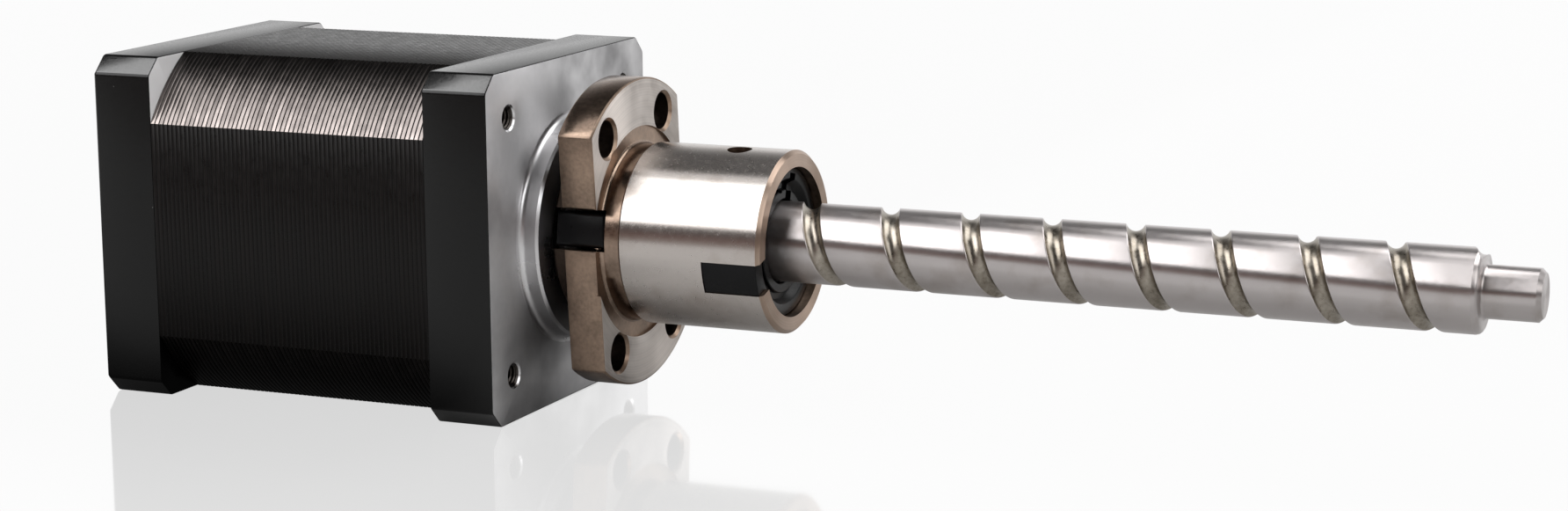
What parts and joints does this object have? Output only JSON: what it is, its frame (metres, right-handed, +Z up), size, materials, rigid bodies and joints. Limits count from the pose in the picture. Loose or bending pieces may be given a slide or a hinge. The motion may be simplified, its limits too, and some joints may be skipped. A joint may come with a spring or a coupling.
{
  "type": "ball screw stepper motor",
  "caption": "Square stepper motor whose shaft is a ball screw, with a flanged ball nut that travels along the screw as it turns.",
  "frame": {"origin": "centre of the motor's front mounting face, on the screw axis", "axes": "+X along the screw axis towards its free end, +Z up with the motor lying on one flat side, lead socket on the +Y side"},
  "size_m": [0.1731, 0.0456, 0.0424],
  "materials": {
    "painted_cap": "black painted cast aluminium, front face machined bare",
    "lamination_steel": "black oxide electrical steel laminations",
    "zinc_screw": "zinc plated",
    "bobbin_nylon": "moulded nylon",
    "copper_wire": "enamelled copper",
    "socket_plastic": "moulded nylon",
    "tinned_pin": "tinned",
    "bearing_steel": "ground and polished",
    "cage_steel": "pressed sheet",
    "seal_rubber": "moulded",
    "rotor_steel": "stamped laminations, ground outside",
    "magnet": "sintered",
    "screw_steel": "rolled thread, ground outside",
    "nut_steel": "ground outside, turned flange",
    "black_plastic": "moulded"
  },
  "bodies": {
    "motor": {"front_end_cap": "painted_cap", "rear_end_cap": "painted_cap", "housing_screws": "zinc_screw", "stator_laminations": "lamination_steel", "front_winding_bobbin": "bobbin_nylon", "rear_winding_bobbin": "bobbin_nylon", "coil_windings": "copper_wire", "lead_socket": "socket_plastic", "socket_pins": "tinned_pin", "front_bearing_outer_ring": "bearing_steel", "rear_bearing_outer_ring": "bearing_steel", "front_bearing_seal": "seal_rubber", "bearing_preload_washer": "cage_steel"},
    "screw": {"ball_screw": "screw_steel", "front_rotor_core": "rotor_steel", "rear_rotor_core": "rotor_steel", "rotor_magnet": "magnet", "rotor_spacer": "cage_steel", "front_bearing_inner_ring": "bearing_steel", "rear_bearing_inner_ring": "bearing_steel"},
    "front_cage": {"front_bearing_balls": "bearing_steel", "front_bearing_cage": "cage_steel"},
    "rear_cage": {"rear_bearing_balls": "bearing_steel", "rear_bearing_cage": "cage_steel"},
    "nut": {"ball_nut": "nut_steel", "recirculating_balls": "bearing_steel", "flange_end_deflector": "black_plastic", "free_end_deflector": "black_plastic", "free_end_wiper": "black_plastic"}
  },
  "joints": [
    {"name": "screw_spin", "type": "hinge", "parent": "motor", "child": "screw", "pos_m": [0, 0, 0], "axis": [-1, 0, 0], "range_deg": [0, 2700]},
    {"name": "nut_travel", "type": "slide", "parent": "motor", "child": "nut", "axis": [1, 0, 0], "range_m": [-0.0002, 0.0752]},
    {"name": "front_cage_spin", "type": "hinge", "parent": "motor", "child": "front_cage", "pos_m": [0, 0, 0], "axis": [-1, 0, 0], "range_deg": [-5, 1010]},
    {"name": "rear_cage_spin", "type": "hinge", "parent": "motor", "child": "rear_cage", "pos_m": [-0.0494, 0, 0], "axis": [-1, 0, 0], "range_deg": [-5, 1010]}
  ],
  "couplings": [
    {"joint": "nut_travel", "follows": "screw_spin", "m_per_rad": 0.0015915},
    {"joint": "front_cage_spin", "follows": "screw_spin", "ratio": 0.37},
    {"joint": "rear_cage_spin", "follows": "screw_spin", "ratio": 0.37143}
  ]
}
